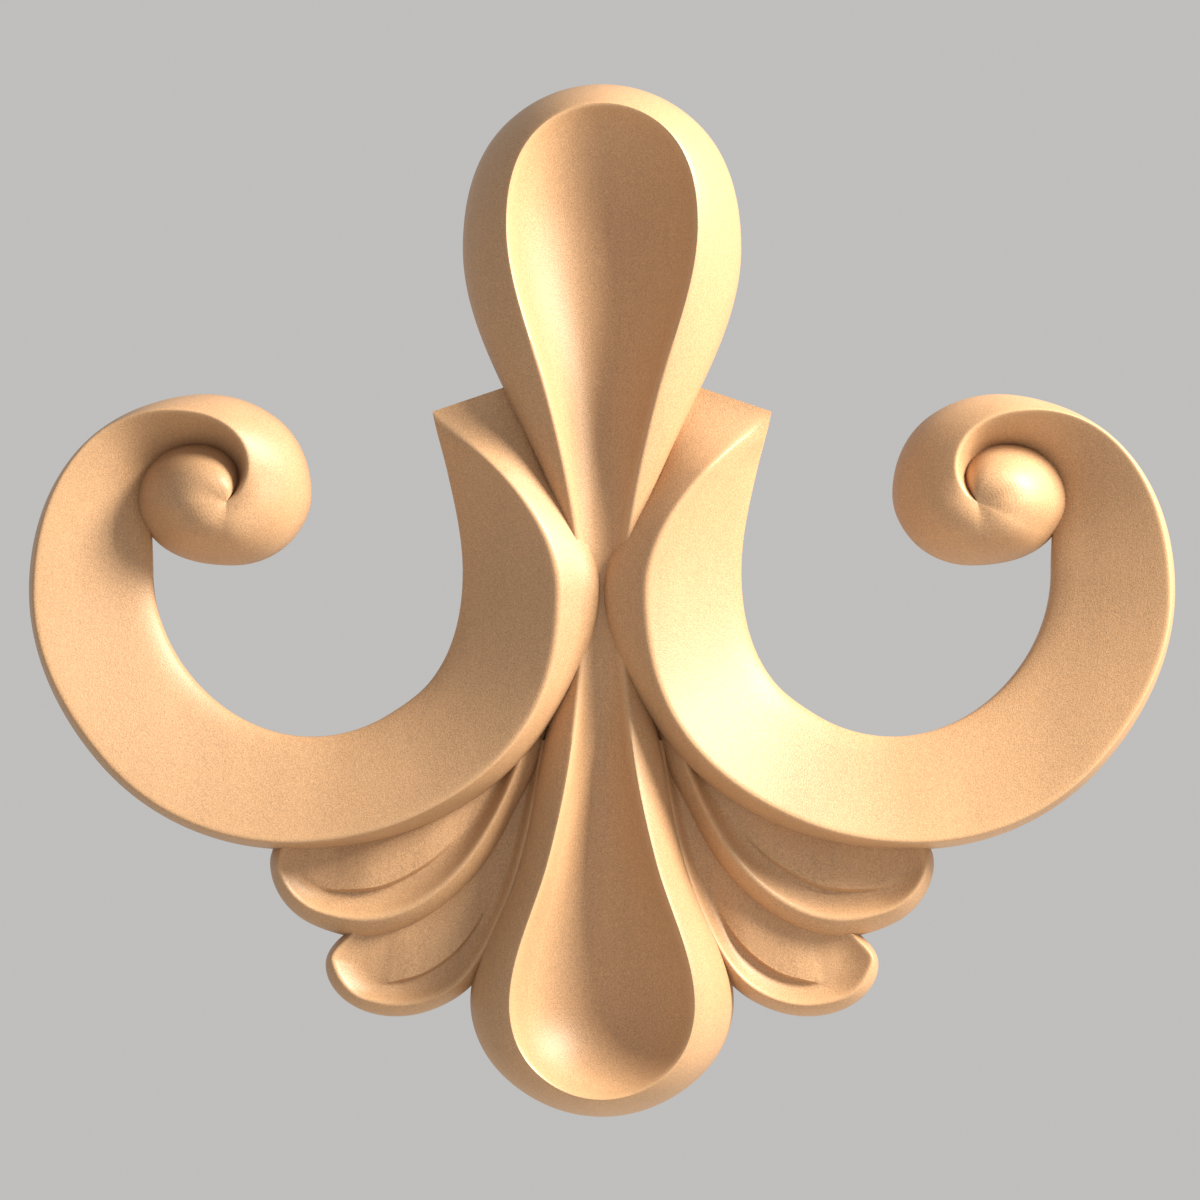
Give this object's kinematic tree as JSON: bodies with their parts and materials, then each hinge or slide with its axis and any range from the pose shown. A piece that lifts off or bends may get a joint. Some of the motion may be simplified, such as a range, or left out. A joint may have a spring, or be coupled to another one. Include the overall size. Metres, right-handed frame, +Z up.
{
  "type": "scroll onlay",
  "caption": "Carved wooden scroll onlay: a hollowed loop and drop between mirrored C-scrolls with curled ends, over cupped leaves, with a flat back for fixing to furniture or panelling.",
  "frame": {"origin": "middle of the flat back, halfway between the loop's top and the toe's bottom on the centre line", "axes": "+Z up the centre line towards the loop, +X to the right seen from the front, +Y out of the back, so that the carving faces -Y"},
  "size_m": [0.2, 0.018, 0.1802],
  "materials": {
    "carved_wood": "bare fine-grained light hardwood, sanded smooth, with faint tool lines in the hollows and on the curls"
  },
  "bodies": {
    "root": {"scroll_onlay": "carved_wood"}
  },
  "joints": []
}
